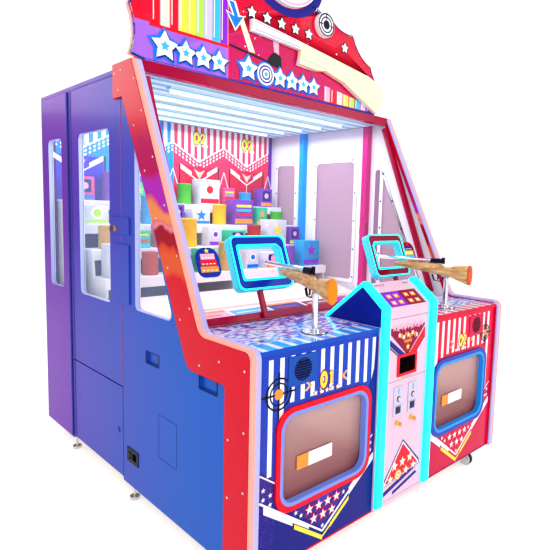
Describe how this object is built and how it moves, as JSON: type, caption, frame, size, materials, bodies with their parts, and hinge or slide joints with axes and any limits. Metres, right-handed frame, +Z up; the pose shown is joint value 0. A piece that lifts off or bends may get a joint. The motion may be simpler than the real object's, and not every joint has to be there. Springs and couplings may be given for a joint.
{
  "type": "light gun cabinet",
  "caption": "Two-player cork-rifle prize cabinet: sloped clear front with aim openings, rifles on posts, stepped shelves, a middle coin tower and prize doors.",
  "frame": {"origin": "centre of the footprint at floor level, under the middle of the overall box", "axes": "+X to the right-hand station as a player faces the cabinet, +Y to the back, +Z up"},
  "size_m": [1.68, 1.926, 2.655],
  "materials": {
    "frame_steel": "satin",
    "zinc_steel": "satin",
    "plywood": "matte",
    "blue_side": "satin",
    "red_paint": "gloss",
    "moulding": "gloss",
    "printed_front": "gloss",
    "bezel_plastic": "gloss",
    "white_liner": "satin",
    "printed_counter": "gloss",
    "speaker_metal": "satin",
    "tower_paint": "gloss",
    "led_diffuser": "glowing",
    "coin_steel": "brushed",
    "chrome_post": "polished",
    "clear_sheet": "clear",
    "crimson_rail": "gloss",
    "aim_plate": "gloss",
    "prize_goods": "varied",
    "printed_back": "satin",
    "light_tube": "glowing",
    "marquee_print": "gloss",
    "electronics_board": "satin",
    "hopper_plastic": "satin",
    "black_plastic": "satin",
    "caster_rubber": "matte",
    "lock_brass": "polished",
    "smoked_flap": "smoked",
    "button_plastic": "gloss",
    "stock_wood": "varnished",
    "black_metal": "satin"
  },
  "bodies": {
    "caster_fork_left": {"caster_fork_left": "zinc_steel"},
    "caster_wheel_left": {"caster_wheel_left": "caster_rubber"},
    "door_upper_left": {"door_upper_left": "blue_side"},
    "door_lower_left": {"door_lower_left": "blue_side"},
    "door_lock_left": {"door_lock_left": "lock_brass"},
    "prize_flap_left": {"prize_flap_left": "smoked_flap"},
    "reject_button_left": {"reject_button_left": "button_plastic"},
    "tower_lock_left": {"tower_lock_left": "lock_brass"},
    "yoke_left": {"yoke_left": "zinc_steel"},
    "rifle_left": {"stock_left": "stock_wood", "barrel_left": "chrome_post"},
    "trigger_left": {"trigger_left": "black_metal"},
    "caster_fork_right": {"caster_fork_right": "zinc_steel"},
    "caster_wheel_right": {"caster_wheel_right": "caster_rubber"},
    "door_upper_right": {"door_upper_right": "blue_side"},
    "door_lower_right": {"door_lower_right": "blue_side"},
    "door_lock_right": {"door_lock_right": "lock_brass"},
    "prize_flap_right": {"prize_flap_right": "smoked_flap"},
    "reject_button_right": {"reject_button_right": "button_plastic"},
    "tower_lock_right": {"tower_lock_right": "lock_brass"},
    "yoke_right": {"yoke_right": "zinc_steel"},
    "rifle_right": {"stock_right": "stock_wood", "barrel_right": "chrome_post"},
    "trigger_right": {"trigger_right": "black_metal"},
    "tower_lid": {"tower_lid": "tower_paint"},
    "tower_door": {"tower_door": "tower_paint", "coin_acceptors": "coin_steel"},
    "cork_agitator": {"cork_agitator": "hopper_plastic"},
    "power_switch": {"power_switch": "black_plastic"},
    "root": {"steel_frame": "frame_steel", "leveling_feet": "zinc_steel", "floor_deck": "plywood", "side_shell_left": "blue_side", "side_shell_right": "blue_side", "back_panel": "blue_side", "roof_panel": "blue_side", "cheek_left": "red_paint", "cheek_right": "red_paint", "cheek_mouldings": "moulding", "front_panels": "printed_front", "prize_bezels": "bezel_plastic", "prize_chutes": "white_liner", "counter_top": "printed_counter", "speakers": "speaker_metal", "tower_body": "tower_paint", "led_strips": "led_diffuser", "cork_pocket": "bezel_plastic", "gun_posts": "chrome_post", "windshield": "clear_sheet", "windshield_frame": "crimson_rail", "aim_frames": "aim_plate", "shelves": "white_liner", "prizes": "prize_goods", "back_graphics": "printed_back", "ceiling_lights": "light_tube", "marquee": "marquee_print", "electronics": "electronics_board", "cash_box": "frame_steel", "cork_hopper": "hopper_plastic", "power_plate": "black_plastic"}
  },
  "joints": [
    {"name": "caster_swivel_left", "type": "hinge", "parent": "root", "child": "caster_fork_left", "pos_m": [-0.66, -0.857, 0.08], "axis": [0, 0, 1], "continuous": true},
    {"name": "caster_roll_left", "type": "hinge", "parent": "caster_fork_left", "child": "caster_wheel_left", "pos_m": [-0.66, -0.877, 0.034], "axis": [1, 0, 0], "continuous": true},
    {"name": "door_upper_swing_left", "type": "hinge", "parent": "root", "child": "door_upper_left", "pos_m": [-0.8135, 0.5715, 1.18], "axis": [0, 0, -1], "range_deg": [0, 105]},
    {"name": "door_lower_swing_left", "type": "hinge", "parent": "root", "child": "door_lower_left", "pos_m": [-0.8135, 0.5715, 0.31], "axis": [0, 0, -1], "range_deg": [0, 105]},
    {"name": "door_lock_turn_left", "type": "hinge", "parent": "door_upper_left", "child": "door_lock_left", "pos_m": [-0.814, 0.031, 1.206], "axis": [-1, 0, 0], "range_deg": [0, 90]},
    {"name": "prize_flap_swing_left", "type": "hinge", "parent": "root", "child": "prize_flap_left", "pos_m": [-0.462, -0.899, 0.642], "axis": [1, 0, 0], "range_deg": [0, 70]},
    {"name": "reject_press_left", "type": "slide", "parent": "tower_door", "child": "reject_button_left", "axis": [0, 1, 0], "range_m": [0, 0.004], "stiffness_N_per_m": 300, "springref_m": -0.001},
    {"name": "tower_lock_turn_left", "type": "hinge", "parent": "tower_door", "child": "tower_lock_left", "pos_m": [-0.05, -0.937, 0.437], "axis": [0, 1, 0], "range_deg": [0, 90]},
    {"name": "rifle_yaw_left", "type": "hinge", "parent": "root", "child": "yoke_left", "pos_m": [-0.445, -0.831, 1.032], "axis": [0, 0, -1], "range_deg": [-26.5, 0]},
    {"name": "rifle_pitch_left", "type": "hinge", "parent": "yoke_left", "child": "rifle_left", "pos_m": [-0.445, -0.831, 1.032], "axis": [0.9613, -0.2756, 0], "range_deg": [-4, 5]},
    {"name": "trigger_pull_left", "type": "hinge", "parent": "rifle_left", "child": "trigger_left", "pos_m": [-0.43181, -0.785, 1.02316], "axis": [-0.9613, 0.2756, 0], "range_deg": [0, 14], "stiffness_Nm_per_rad": 0.08, "springref_deg": -5.73},
    {"name": "caster_swivel_right", "type": "hinge", "parent": "root", "child": "caster_fork_right", "pos_m": [0.66, -0.857, 0.08], "axis": [0, 0, 1], "continuous": true},
    {"name": "caster_roll_right", "type": "hinge", "parent": "caster_fork_right", "child": "caster_wheel_right", "pos_m": [0.66, -0.877, 0.034], "axis": [1, 0, 0], "continuous": true},
    {"name": "door_upper_swing_right", "type": "hinge", "parent": "root", "child": "door_upper_right", "pos_m": [0.8135, 0.5715, 1.18], "axis": [0, 0, 1], "range_deg": [0, 105]},
    {"name": "door_lower_swing_right", "type": "hinge", "parent": "root", "child": "door_lower_right", "pos_m": [0.8135, 0.5715, 0.31], "axis": [0, 0, 1], "range_deg": [0, 105]},
    {"name": "door_lock_turn_right", "type": "hinge", "parent": "door_upper_right", "child": "door_lock_right", "pos_m": [0.814, 0.031, 1.206], "axis": [-1, 0, 0], "range_deg": [0, 90]},
    {"name": "prize_flap_swing_right", "type": "hinge", "parent": "root", "child": "prize_flap_right", "pos_m": [0.462, -0.899, 0.642], "axis": [1, 0, 0], "range_deg": [0, 70]},
    {"name": "reject_press_right", "type": "slide", "parent": "tower_door", "child": "reject_button_right", "axis": [0, 1, 0], "range_m": [0, 0.004], "stiffness_N_per_m": 300, "springref_m": -0.001},
    {"name": "tower_lock_turn_right", "type": "hinge", "parent": "tower_door", "child": "tower_lock_right", "pos_m": [0.05, -0.937, 0.437], "axis": [0, -1, 0], "range_deg": [0, 90]},
    {"name": "rifle_yaw_right", "type": "hinge", "parent": "root", "child": "yoke_right", "pos_m": [0.445, -0.831, 1.032], "axis": [0, 0, -1], "range_deg": [-14, 12.5]},
    {"name": "rifle_pitch_right", "type": "hinge", "parent": "yoke_right", "child": "rifle_right", "pos_m": [0.445, -0.831, 1.032], "axis": [0.9994, 0.0349, 0], "range_deg": [-4, 5]},
    {"name": "trigger_pull_right", "type": "hinge", "parent": "rifle_right", "child": "trigger_right", "pos_m": [0.44333, -0.78318, 1.02316], "axis": [-0.9994, -0.0349, 0], "range_deg": [0, 14], "stiffness_Nm_per_rad": 0.08, "springref_deg": -5.73},
    {"name": "tower_lid_lift", "type": "hinge", "parent": "root", "child": "tower_lid", "pos_m": [0, -0.835, 1.014], "axis": [-1, 0, 0], "range_deg": [0, 65]},
    {"name": "tower_door_swing", "type": "hinge", "parent": "root", "child": "tower_door", "pos_m": [-0.14, -0.9415, 0.366], "axis": [0, 0, -1], "range_deg": [0, 95]},
    {"name": "agitator_spin", "type": "hinge", "parent": "root", "child": "cork_agitator", "pos_m": [0, -0.815, 0.8], "axis": [0, 0, 1], "continuous": true},
    {"name": "power_switch_rock", "type": "hinge", "parent": "root", "child": "power_switch", "pos_m": [-0.804, -0.085, 0.23], "axis": [0, 1, 0], "range_deg": [0, 14]}
  ]
}
